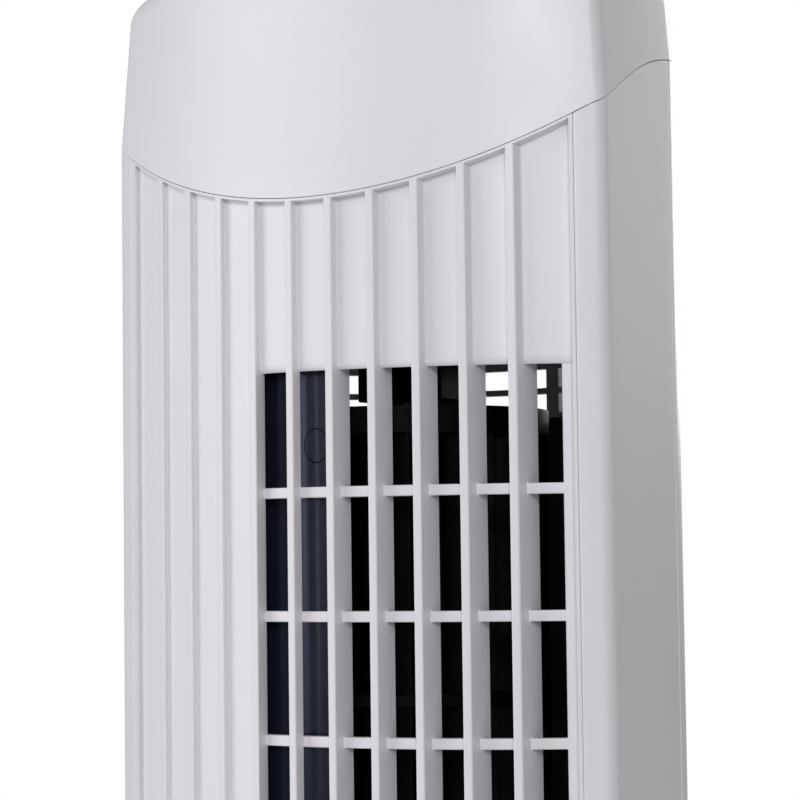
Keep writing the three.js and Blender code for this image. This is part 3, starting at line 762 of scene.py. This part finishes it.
def grille_sheet():
    """The sunk panel and its flush rim as one sheet, with the opening left out."""
    rim_top = GRILLE_BOTTOM + RIM_BOTTOM
    upper_band = SEAM_FRONT - 12
    left, right = RIM_LEFT - INSERT_HALF, INSERT_HALF - RIM_RIGHT
    across = spread(left, OPENING_LEFT, 16) + spread(OPENING_LEFT, OPENING_RIGHT, 28)[1:] + [right]
    columns_at = [(-INSERT_HALF, False), (left, False)]
    columns_at += [(x, True) for x in across]
    columns_at += [(right, False), (INSERT_HALF, False)]
    # The lip at both ends of the opening: distance from the opening, and how far it turns in.
    lip = [(2.4, 0), (1.3, 0.12), (0.55, 0.5), (0.1, 1.05)]
    columns = []
    for x, sunk in columns_at:
        face = face_at(x)
        panel = panel_at(x) if sunk else face
        turned_in = 1 if sunk and x > OPENING_LEFT - 0.1 else 0
        top = seam_at(face) - SEAM_HALF_GAP
        rows = [(GRILLE_BOTTOM, face), (rim_top, face), (rim_top, panel)]
        rows += [(OPENING_BOTTOM - rise, panel + back * turned_in) for rise, back in lip]
        rows += [(OPENING_TOP + rise, panel + back * turned_in) for rise, back in reversed(lip)]
        rows += [(upper_band, panel), (top - RIM_TOP, panel), (top - RIM_TOP, face), (top, face)]
        columns.append([(x, y, z) for z, y in rows])
    opening_row = 2 + len(lip)

    def solid_cell(column, row):
        middle = (columns_at[column][0] + columns_at[column + 1][0]) / 2
        return not (row == opening_row and OPENING_LEFT < middle < OPENING_RIGHT)

    shape = Shape()
    shape.sheet(columns, solid_cell)
    panel = shape.piece("grille_panel")
    thicken(panel, PANEL_THICKNESS)
    soften(panel, 0.32, 4)
    return panel


def rib_outline(index, surface, flare):
    """One rib in plan, from the face back to a surface, flared where it meets the panel."""
    flare_radius, back_radius = 0.7, 0.4
    half = RIB_WIDTH / 2
    centre = rib_x(index)
    tip = arc(half - RIB_TIP, RIB_TIP, RIB_TIP, -math.pi / 2, 0, 5)
    outline = []
    for side in (1, -1):
        x = centre + side * half
        depth = surface(x) - face_at(x)
        if flare:
            foot = half + flare_radius
            root = arc(foot, depth - 0.55, flare_radius, math.pi, math.pi / 2, 4)
            root.append((foot, depth + 0.8))
        else:
            root = arc(half - back_radius, depth - back_radius, back_radius, 0, math.pi / 2, 4)
            root.append((half - 0.6, depth))
        places = [(centre + side * dx, dy) for dx, dy in tip + root]
        edge = [(x, face_at(x) + dy) for x, dy in places]
        outline += edge if side > 0 else list(reversed(edge))
    return outline


def add_ribs(shape):
    """Each rib is one form: its section changes where it passes the ends of the opening."""
    lap = 0.8
    low = GRILLE_BOTTOM + RIM_BOTTOM / 2
    for index in range(1, COLUMNS):
        top = seam_at(face_at(rib_x(index))) - SEAM_HALF_GAP - RIM_TOP / 2
        sunk = rib_outline(index, panel_at, True)
        if index < FIRST_OPEN_RIB:
            levels = [(low, sunk), (top, sunk)]
        else:
            back = rib_back_at if index >= FIRST_DEEP_RIB else shallow_rib_back_at
            free = rib_outline(index, back, False)
            lowest, highest = OPENING_BOTTOM - lap, OPENING_TOP + lap
            levels = [(low, sunk), (lowest, sunk), (lowest, free),
                      (highest, free), (highest, sunk), (top, sunk)]
        shape.rings([[(x, y, z) for x, y in outline] for z, outline in levels], closed_ends=True)


def shallow_rib_back_at(x):
    """Where the shallow ribs end: just behind the front of the bars."""
    return panel_at(x) + BAR_SETBACK + 0.3


def bar_stations():
    """Sideways places along a bar, and how far the bar spreads there to meet a deep rib."""
    fillet, overlap = 0.5, 2
    near = [0, 0.05, 0.13, 0.27, fillet]
    stations = []
    for index in range(FIRST_OPEN_RIB, COLUMNS):
        start = rib_x(index) + RIB_WIDTH / 2
        end = min(rib_x(index + 1) - RIB_WIDTH / 2, OPENING_RIGHT)
        places = [start + d for d in near] + [(start + end) / 2] + [end - d for d in reversed(near)]
        for x in places:
            from_left = x - start if index >= FIRST_DEEP_RIB else fillet
            from_right = end - x if index + 1 >= FIRST_DEEP_RIB else fillet
            reach = max(fillet - min(from_left, from_right), 0)
            stations.append((x, fillet - math.sqrt(fillet ** 2 - reach ** 2)))
    stations.insert(0, (stations[0][0] - overlap, stations[0][1]))
    stations.append((stations[-1][0] + overlap, stations[-1][1]))
    return stations


def add_bars(shape):
    """Level bars, each one form across the opening."""
    edge_radius = 0.45
    stations = bar_stations()
    for index in range(BAR_COUNT):
        z = TOP_BAR - index * BAR_PITCH
        loops = []
        for x, spread_out in stations:
            half = BAR_HEIGHT / 2 + spread_out
            section = filleted(box_outline(0, BAR_DEPTH, -half, half), edge_radius, 3)
            loops.append([(x, panel_at(x) + BAR_SETBACK + d, z + h) for d, h in section])
        shape.rings(loops, closed_ends=True)


def make_front_grille():
    dress(grille_sheet(), "shell_white", "tower", ["front_grille"])
    for name, add in (("grille_ribs", add_ribs), ("grille_bars", add_bars)):
        shape = Shape()
        add(shape)
        dress(shape.piece(name), "shell_white", "tower")


# ---- Cap ----

def crown_at(x, y):
    """Height of the crowned top."""
    return FAN_HEIGHT - CROWN_RADIUS + math.sqrt(CROWN_RADIUS ** 2 - x ** 2 - (y - CROWN_Y) ** 2)


def lean(point, z):
    """The share of its distance from the swing axis that a point keeps at a height."""
    return 1 - CAP_DRAFT * max(z - seam_at(point.y), 0) / HALF_WIDTH


def radial_hit(outline, angle):
    """Where a ray from the swing axis crosses an outline."""
    direction = Vector((math.cos(angle), math.sin(angle)))
    for i, start in enumerate(outline):
        a = Vector(start)
        b = Vector(outline[(i + 1) % len(outline)])
        edge = b - a
        cross = direction.x * edge.y - direction.y * edge.x
        if abs(cross) < 1e-9:
            continue
        reach = (a.x * edge.y - a.y * edge.x) / cross
        along = (a.x * direction.y - a.y * direction.x) / cross
        if reach > 0 and -1e-6 <= along <= 1 + 1e-6:
            return direction * reach
    raise ValueError("the outline doesn't go round the axis")


def rounded_rectangle(half_x, half_y, radius):
    corners = [(half_x, -half_y), (half_x, half_y), (-half_x, half_y), (-half_x, -half_y)]
    return filleted(corners, radius, 6)


def merged_angles(*outlines):
    """The angles of every outline's points round the swing axis, in order, none too close."""
    nearest = 0.003
    angles = sorted(math.atan2(y, x) for outline in outlines for x, y in outline)
    kept = []
    for angle in angles:
        if not kept or angle - kept[-1] > nearest:
            kept.append(angle)
    return kept


def make_top_cap():
    """The cap as rings round the swing axis: up the side, over the round, and in to the pocket."""
    wall, pocket_radius = 2.1, 4
    panel_low, panel_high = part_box("control_panel")
    pocket = rounded_rectangle(panel_high.x / MM + GAP, panel_high.y / MM + GAP, pocket_radius)
    outline = body_outline()
    angles = merged_angles(outline, pocket)
    rim = [radial_hit(outline, a) for a in angles]
    hole = [radial_hit(pocket, a) for a in angles]

    def shoulder(point):
        """Height where the round begins. The lean and the crown depend on each other there."""
        z = FAN_HEIGHT - 2 * CAP_ROUND
        for _ in range(4):
            p = point * lean(point, z)
            z = crown_at(p.x, p.y) - CAP_ROUND
        return z

    loops = []
    for share in (0, 0.06, 0.5, 1):
        loop = []
        for point in rim:
            foot = seam_at(point.y) + SEAM_HALF_GAP
            z = foot * (1 - share) + shoulder(point) * share
            p = point * lean(point, z)
            loop.append((p.x, p.y, z))
        loops.append(loop)
    for angle in spread(0, math.pi / 2, 10)[1:]:
        inset = CAP_ROUND * (1 - math.cos(angle))
        loop = []
        for point in rim:
            p = point * lean(point, shoulder(point)) * (1 - inset / point.length)
            loop.append((p.x, p.y, crown_at(p.x, p.y) - CAP_ROUND * (1 - math.sin(angle))))
        loops.append(loop)
    edge = [Vector((x, y)) for x, y, _ in loops[-1]]
    for share in (0.3, 0.6, 0.85, 1):
        loop = []
        for outer, inner in zip(edge, hole):
            p = outer.lerp(inner, share)
            loop.append((p.x, p.y, crown_at(p.x, p.y)))
        loops.append(loop)
    ledge = panel_low.z / MM - 0.3
    loops.append([(p.x, p.y, ledge) for p in hole])
    loops.append([(p.x * 0.9, p.y * 0.8, ledge) for p in hole])
    shape = Shape()
    shape.rings(loops)
    cap = shape.piece("cap_moulding")
    thicken(cap, wall)
    soften(cap, 0.4)
    dress(cap, "shell_white", "tower", ["top_cap"])


def make_seam_liner():
    """A lip inside the cap that closes the seam to the light."""
    reach, clearance = 5, 0.15
    behind_grille, grille_y, blend_length = 4.5, -38, 4
    outline = []
    for x, y in body_outline(WALL + clearance):
        outline.append((x, y + behind_grille * min(max((grille_y - y) / blend_length, 0), 1)))
    shape = Shape()
    shape.rings([[(x, y, seam_at(y) + rise) for x, y in outline] for rise in (-reach, reach)])
    liner = shape.piece("cap_locating_lip")
    thicken(liner, 1)
    dress(liner, "shell_white", "tower")


# ---- Controls ----

def make_control_panel():
    below, above = 860, 900
    low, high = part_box("control_panel")
    shape = Shape()
    shape.prism(rounded_rectangle(high.x / MM, high.y / MM, 3.6), low.z / MM, high.z / MM)
    panel = shape.piece("control_fascia")
    bore = box_outline(0, BUTTON_BORE_RADIUS, below, above)
    holes = Shape()
    for node in button_nodes:
        holes.lathe(bore, x=node_middle(node, 0), sides=48)
    cut(panel, holes)
    soften(panel, 0.35)
    dress(panel, "control_grey", "tower", ["control_panel"])


def make_button(node, body):
    """A dished key with a flange under the panel and a stem."""
    bottom, top = node_range(node, 2)
    flange = node_range("control_panel", 2)[0] - GAP
    dish = [(0, top - 0.55), (1.5, top - 0.52), (3.0, top - 0.35), (4.3, top - 0.05), (4.8, top)]
    skirt = filleted([(5.2, top), (6, top - 0.6), (6, flange), (8, flange), (8, flange - 1.5),
                      (2.5, flange - 1.5), (2.5, bottom), (0, bottom)], 0.3, 3, closed=False)
    profile = list(reversed(dish + skirt))
    name = node.replace("button", "key_top")
    key = turned(name, profile, x=node_middle(node, 0), sides=48)
    dress(key, "button_grey", body, [node])


MARK_HALF = 0.22


def mark_bar(x, y, half_x, half_y):
    corners = box_outline(x - half_x, x + half_x, y - half_y, y + half_y)
    return filleted(corners, min(half_x, half_y), 3)


def mark_arc(x, y, radius, start, end):
    start, end = math.radians(start), math.radians(end)
    outer = arc(x, y, radius + MARK_HALF, start, end, 20)
    inner = arc(x, y, radius - MARK_HALF, end, start, 20)
    return outer + inner


def button_marks(node, x):
    """A plain symbol for each button, as outlines."""
    if node == "power_button":
        return [mark_arc(x, 0, 1.7, 125, 415), mark_bar(x, 1.5, MARK_HALF, 0.9)]
    if node == "speed_button":
        return [mark_bar(x + (i - 1) * 1.2, -0.4 + i * 0.3, 0.25, 0.7 + i * 0.3) for i in range(3)]
    if node == "swing_button":
        return [mark_arc(x, -1.4, 2.6, 45, 135), mark_bar(x, -0.9, MARK_HALF, 0.9),
                mark_bar(x, -1.7, 0.9, MARK_HALF)]
    return [mark_arc(x, 0, 1.8, 1, 359), mark_bar(x, 0.55, 0.2, 0.7),
            mark_bar(x + 0.45, 0, 0.6, 0.2)]


def make_button_marks(node, body):
    top = node_range(node, 2)[1]
    shape = Shape()
    for outline in button_marks(node, node_middle(node, 0)):
        shape.prism(outline, top - 0.62, top - 0.3)
    mark = shape.piece(node.replace("button", "symbol"))
    dress(mark, "button_grey", body, look=mark_white)


# ---- Duct and impeller ----

def duct_path(points, steps):
    return smooth_path([(x, FACE_Y + depth) for x, depth in points], steps)


def direction_at(path, i):
    before, after = path[max(i - 1, 0)], path[min(i + 1, len(path) - 1)]
    return (Vector(after) - Vector(before)).normalized()


def duct_wall(points):
    """A thin upright wall in plan, along a curve through (x, depth behind the face) points."""
    path = duct_path(points, 48)
    left, right = [], []
    for i, here in enumerate(path):
        along = direction_at(path, i)
        side = Vector((-along.y, along.x)) * DUCT_THICKNESS / 2
        left.append(tuple(Vector(here) + side))
        right.append(tuple(Vector(here) - side))
    return right + list(reversed(left))


def oriented(outline):
    """The outline, turned round if it runs clockwise."""
    area = sum(x0 * y1 - x1 * y0 for (x0, y0), (x1, y1) in zip(outline, outline[1:] + outline[:1]))
    return outline if area > 0 else list(reversed(outline))


def make_duct_walls():
    walls = (("stabiliser", STABILISER, stabiliser_gloss), ("scroll", SCROLL, looks["duct_black"]))
    for name, points, look in walls:
        node = name + "_wall"
        shape = Shape()
        shape.prism(oriented(duct_wall(points)), *node_range(node, 2))
        wall = shape.piece(name + "_moulding")
        soften(wall, 0.6, 3)
        dress(wall, "duct_black", "tower", [node], look)


def make_witness_ring():
    """The round mark that an ejector pin leaves on the stabiliser's front."""
    centre_x, centre_z = -3.4, TOP_BAR + 13.6
    radius, thickness, wall_half = 4.9, 0.2, DUCT_THICKNESS / 2 - 0.02
    rings, sides = 72, 6
    path = duct_path(STABILISER, 200)
    lengths = [0.0]
    for a, b in zip(path, path[1:]):
        lengths.append(lengths[-1] + math.dist(a, b))
    centre = next(s for s, p in zip(lengths, path) if p[0] > centre_x)
    loops = []
    for i in range(rings + 1):
        angle = 2 * math.pi * i / rings
        s = centre + radius * math.cos(angle)
        k = min(range(len(lengths)), key=lambda j: abs(lengths[j] - s))
        along = direction_at(path, k)
        out = Vector((along.y, -along.x))
        surface = Vector(path[k]) + out * wall_half
        loop = []
        for j in range(sides):
            turn = 2 * math.pi * j / sides
            wide = thickness * math.cos(turn)
            proud = thickness * 0.5 * math.sin(turn)
            p = surface + along * wide * math.cos(angle) + out * proud
            loop.append((p.x, p.y, centre_z + (radius + wide) * math.sin(angle)))
        loops.append(loop)
    shape = Shape()
    shape.rings(loops)
    dress(shape.piece("ejector_mark"), "dark_plastic", "tower", look=looks["impeller_black"])


def make_bearing_bracket():
    """A plate over the impeller, with stiffening ribs and the bearing's boss under it."""
    plate_bottom, rib_bottom = 780, 774
    rib_half, rib_reach = 0.8, 19
    bottom, top = node_range("bearing_bracket", 2)
    shape = Shape()
    boss = filleted([(20, -22), (20, 8), (-8, 8), (-8, -22)], 2, 6)
    shape.prism(boss, bottom, plate_bottom + 1)
    shape.prism(rounded_rectangle(73, 20, 5), plate_bottom, top)
    for x in spread(-60, 60, 6):
        rib = box_outline(x - rib_half, x + rib_half, -rib_reach, rib_reach)
        shape.prism(rib, rib_bottom, plate_bottom + 0.5)
    bracket = shape.piece("bearing_support")
    soften(bracket, 0.4)
    dress(bracket, "duct_black", "tower", ["bearing_bracket"])


def blade_outline(angle):
    """A curved blade in plan, leaning forward and a little thinner towards its tip."""
    inner, outer = IMPELLER_RADIUS - 9, IMPELLER_RADIUS - 0.5
    root_half, sweep, taper = 0.5, 0.17, 0.3
    front, back = [], []
    for share in spread(0, 1, 5):
        radius = inner + (outer - inner) * share
        turn = angle + sweep * share ** 2
        half = root_half / radius * (1 - taper * share)
        front.append((radius * math.cos(turn - half), IMPELLER_Y + radius * math.sin(turn - half)))
        back.append((radius * math.cos(turn + half), IMPELLER_Y + radius * math.sin(turn + half)))
    return front + list(reversed(back))


def add_ring(shape, low, high, inner):
    profile = box_outline(inner, IMPELLER_RADIUS, low, high)
    shape.lathe(filleted(profile, 0.4, 3), y=IMPELLER_Y, sides=96)


def make_impeller():
    ring_half, blade_bore = 1.8, IMPELLER_RADIUS - RING_DEPTH
    shaft_bore, pin_bore, hub_radius, hub_length = 4.3, 3.3, 10, 22
    shape = Shape()
    for i in range(BLADES):
        shape.prism(blade_outline(2 * math.pi * i / BLADES), IMPELLER_BOTTOM + 1, IMPELLER_TOP - 1)
    lowest = IMPELLER_BOTTOM + END_RING
    section = (IMPELLER_TOP - TOP_RING - lowest) / SECTIONS
    for i in range(1, SECTIONS):
        z = lowest + i * section
        add_ring(shape, z - ring_half, z + ring_half, blade_bore)
    add_ring(shape, IMPELLER_BOTTOM, lowest, shaft_bore)
    add_ring(shape, IMPELLER_TOP - END_RING, IMPELLER_TOP, pin_bore)
    add_ring(shape, IMPELLER_TOP - TOP_RING, IMPELLER_TOP - END_RING + 0.5, blade_bore)
    hub = box_outline(shaft_bore, hub_radius, IMPELLER_BOTTOM, IMPELLER_BOTTOM + hub_length)
    shape.lathe(hub, y=IMPELLER_Y, sides=48)
    wheel = shape.piece("cross_flow_wheel")
    dress(wheel, "impeller_black", "rotor", ["impeller"])


# ---- Base ----

def make_base_cover():
    """A shallow dome with a level top, open below, with a hole for the gland at the back."""
    bore, ceiling = 8.6, 33.5
    low, top = node_range("base_cover", 2)
    rim, rim_inside = BASE_RADIUS, BASE_RADIUS - WALL
    outer = [(rim_inside, low), (rim, low), (rim, 11), (127, 19.5), (112, 25.5), (86, 32.5),
             (62, top), (bore, top)]
    inner = [(bore, ceiling), (61.8, ceiling), (85.5, 30), (111, 23), (125.5, 17), (rim_inside, 10)]
    profile = filleted(outer, 3.5, 6, closed=False) + inner
    cover = turned("base_moulding", profile, sides=160)
    hole = Shape()
    hole.lathe(box_outline(0, 4.6, 120, 140), sides=40, lying=node_middle("cord_gland", 2))
    cut(cover, hole)
    dress(cover, "shell_white", "base", ["base_cover"])


def make_feet():
    for node in sorted(n for n in frame["nodes"] if n.startswith("rubber_foot")):
        top = node_range(node, 2)[1]
        profile = [(0, 0.5), (2.4, 0.5), (3, 0), (8, 0), (9, 1), (9, top), (0, top)]
        profile = filleted(profile, 0.5, 3, closed=False)
        name = node.replace("rubber_foot", "foot_pad")
        foot = turned(name, profile, x=node_middle(node, 0), y=node_middle(node, 1), sides=48)
        dress(foot, "rubber_black", "base", [node])


def make_ring(name, node):
    """A turned nylon ring in place of a ring-shaped CAD node."""
    low, high = node_range(node, 2)
    profile = box_outline(RING_BORES[node], node_range(node, 0)[1], low, high)
    ring = turned(name, filleted(profile, 0.4, 3), sides=96)
    dress(ring, "nylon_natural", "base", [node])


def make_gland():
    bore, outer = 2.9, 4.2
    start, end = node_range("cord_gland", 1)
    profile = [(bore, start), (outer, start), (outer, end - 1.2), (outer, end), (bore, end)]
    height = node_middle("cord_gland", 2)
    bush = turned("cord_bush", filleted(profile, 0.5, 4), sides=48, lying=height)
    dress(bush, "rubber_black", "base", ["cord_gland"])


# ---- Fasteners ----

def screw_profile(length):
    """A pan-head screw: its domed head ends at zero, and its shank runs to minus its length."""
    radius, shank, tip = SCREW_HEAD_RADIUS, SCREW_SHANK_RADIUS, 1.5
    rise = SCREW_HEAD_HEIGHT * 0.45
    dome_radius = (radius ** 2 + rise ** 2) / (2 * rise)
    dome = arc(0, -dome_radius, dome_radius, math.acos(radius / dome_radius), math.pi / 2, 6)
    shaft = [(0, -length), (shank * 0.6, -length), (shank, -length + tip),
             (shank, -SCREW_HEAD_HEIGHT)]
    return shaft + [(radius, -SCREW_HEAD_HEIGHT)] + dome[:-1] + [(0, 0)]


def make_screw(node, axis, body):
    """A cross-slotted screw, made head up at zero, cut there, and then turned into its place."""
    low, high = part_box(node)
    middle = (low + high) / 2
    length = (high.y - low.y if axis == "rear" else high.z - low.z) / MM
    screw = turned(node.replace("screw", "fastener"), screw_profile(length), sides=32)
    arm, half = SCREW_HEAD_RADIUS * 0.62, SCREW_HEAD_RADIUS * 0.13
    depth = SCREW_HEAD_HEIGHT * 0.6
    for wide, tall in ((arm, half), (half, arm)):
        slot = Shape()
        slot.prism(box_outline(-wide, wide, -tall, tall), -depth, 2)
        cut(screw, slot)
    if axis == "rear":
        turn, place = math.radians(-90), (middle.x, high.y, middle.z)
    else:
        turn, place = math.radians(180), (middle.x, middle.y, low.z)
    screw.data.transform(Matrix.Translation(place) @ Matrix.Rotation(turn, 4, "X"))
    dress(screw, "steel", body, [node])


def make_fasteners():
    for node in shell_screws:
        make_screw(node, "rear", "tower")
    for node in sorted(n for n in frame["nodes"] if n.startswith("base_screw")):
        make_screw(node, "down", "base")


# ---- CAD nodes that keep their own shape ----

def dress_frame_nodes():
    slots = {part["node"]: part["material_slot"] for part in frame["record"]["subparts"]}
    for node, obj in frame["nodes"].items():
        if obj.hide_render:
            continue
        obj.data.materials.clear()
        obj.data.materials.append(looks[slots[node]])
        obj.data.set_sharp_from_angle(angle=math.radians(30))


# ---- Studio and camera ----

def make_floor():
    places = spread(-2400, 2400, 12)
    shape = Shape()
    shape.sheet([[(x, y, 0.0) for y in places] for x in places])
    floor = shape.piece("floor")
    look = Nodes("floor_paper")
    tone = look.shades(look.noise(3, 5), (0.70, 0.70, 0.71), (0.74, 0.74, 0.75))
    gloss = look.between(look.noise(40, 3), 0.6, 0.75)
    floor.data.materials.append(look.finish(tone, gloss, look.bump(look.noise(700, 3), 0.1, 0.4)))


def make_light(name, place, aim, size, power, colour=(1, 1, 1)):
    """A soft panel that the camera doesn't see, with its place in metres and its power in watts."""
    data = bpy.data.lights.new(name, "AREA")
    data.shape = "RECTANGLE"
    data.size, data.size_y = size
    data.energy = power
    data.color = colour
    lamp = new_object(name, data)
    lamp.location = place
    lamp.rotation_mode = "QUATERNION"
    lamp.rotation_quaternion = (Vector(aim) - Vector(place)).to_track_quat("-Z", "Y")
    lamp.visible_camera = False


def make_studio():
    """Four soft panels, a dim surround, and a white backdrop that only the camera sees."""
    world = bpy.data.worlds.new("studio")
    bpy.context.scene.world = world
    world.use_nodes = True
    tree = world.node_tree
    ambient = tree.nodes["Background"]
    backdrop = tree.nodes.new("ShaderNodeBackground")
    for node, colour, strength in ((ambient, (1.03, 0.98, 0.97, 1), 0.2),
                                   (backdrop, (1, 1, 1, 1), 1.0)):
        node.inputs["Color"].default_value = colour
        node.inputs["Strength"].default_value = strength
    path = tree.nodes.new("ShaderNodeLightPath")
    mix = tree.nodes.new("ShaderNodeMixShader")
    tree.links.new(path.outputs["Is Camera Ray"], mix.inputs["Fac"])
    tree.links.new(ambient.outputs[0], mix.inputs[1])
    tree.links.new(backdrop.outputs[0], mix.inputs[2])
    tree.links.new(mix.outputs[0], tree.nodes["World Output"].inputs["Surface"])
    aim = (0, 0, 0.65)
    cool = (0.99, 0.995, 1.02)
    make_light("left_softbox", (-2.2, -2.3, 1.6), aim, (2.2, 2.4), 43, cool)
    make_light("right_softbox", (1.5, -2.9, 1.75), aim, (0.9, 0.9), 41, cool)
    make_light("back_softbox", (0.0, 3.1, 1.6), aim, (1.0, 1.3), 54)
    make_light("overhead", (0, 0, 3.2), aim, (2, 2), 6)


def make_camera():
    """A viewpoint from the fan's right, a little below what the camera looks at."""
    turn, rise, roll = math.radians(28.304), math.radians(3.512), math.radians(-0.71)
    distance = 667.7
    target = Vector((29.55, FACE_Y, TOP_BAR + 24.98))
    sensor, image_width, focal_pixels = 36, 800, 2397.3
    level = math.cos(rise)
    forward = Vector((-math.sin(turn) * level, math.cos(turn) * level, math.sin(rise)))
    right = Vector((math.cos(turn), math.sin(turn), 0))
    up = right.cross(forward)
    tilted_right = right * math.cos(roll) + up * math.sin(roll)
    tilted_up = up * math.cos(roll) - right * math.sin(roll)
    data = bpy.data.cameras.new("camera")
    data.sensor_width = sensor
    data.sensor_fit = "HORIZONTAL"
    data.lens = sensor * focal_pixels / image_width
    data.clip_start = 0.02
    data.clip_end = 60
    camera = new_object("camera", data)
    place = (target - forward * distance) * MM
    rows = [(tilted_right[i], tilted_up[i], -forward[i], place[i]) for i in range(3)]
    camera.matrix_world = Matrix([*rows, (0, 0, 0, 1)])
    bpy.context.scene.camera = camera


make_camera()
make_front_shell()
make_rear_shell()
make_screw_cups()
make_rim_rebates()
make_turntable()
make_front_grille()
make_top_cap()
make_seam_liner()
make_control_panel()
for button, key in zip(button_nodes, ["power_key", "speed_key", "swing_key", "timer_key"]):
    make_button(button, key)
    make_button_marks(button, key)
make_duct_walls()
make_witness_ring()
make_bearing_bracket()
make_impeller()
make_base_cover()
make_feet()
make_ring("glide_ring", "slide_ring")
make_ring("post_retainer", "pivot_retainer")
make_gland()
make_fasteners()
dress_frame_nodes()
make_floor()
make_studio()
bpy.context.scene.view_settings.view_transform = "Standard"
bpy.context.scene.view_settings.look = "None"
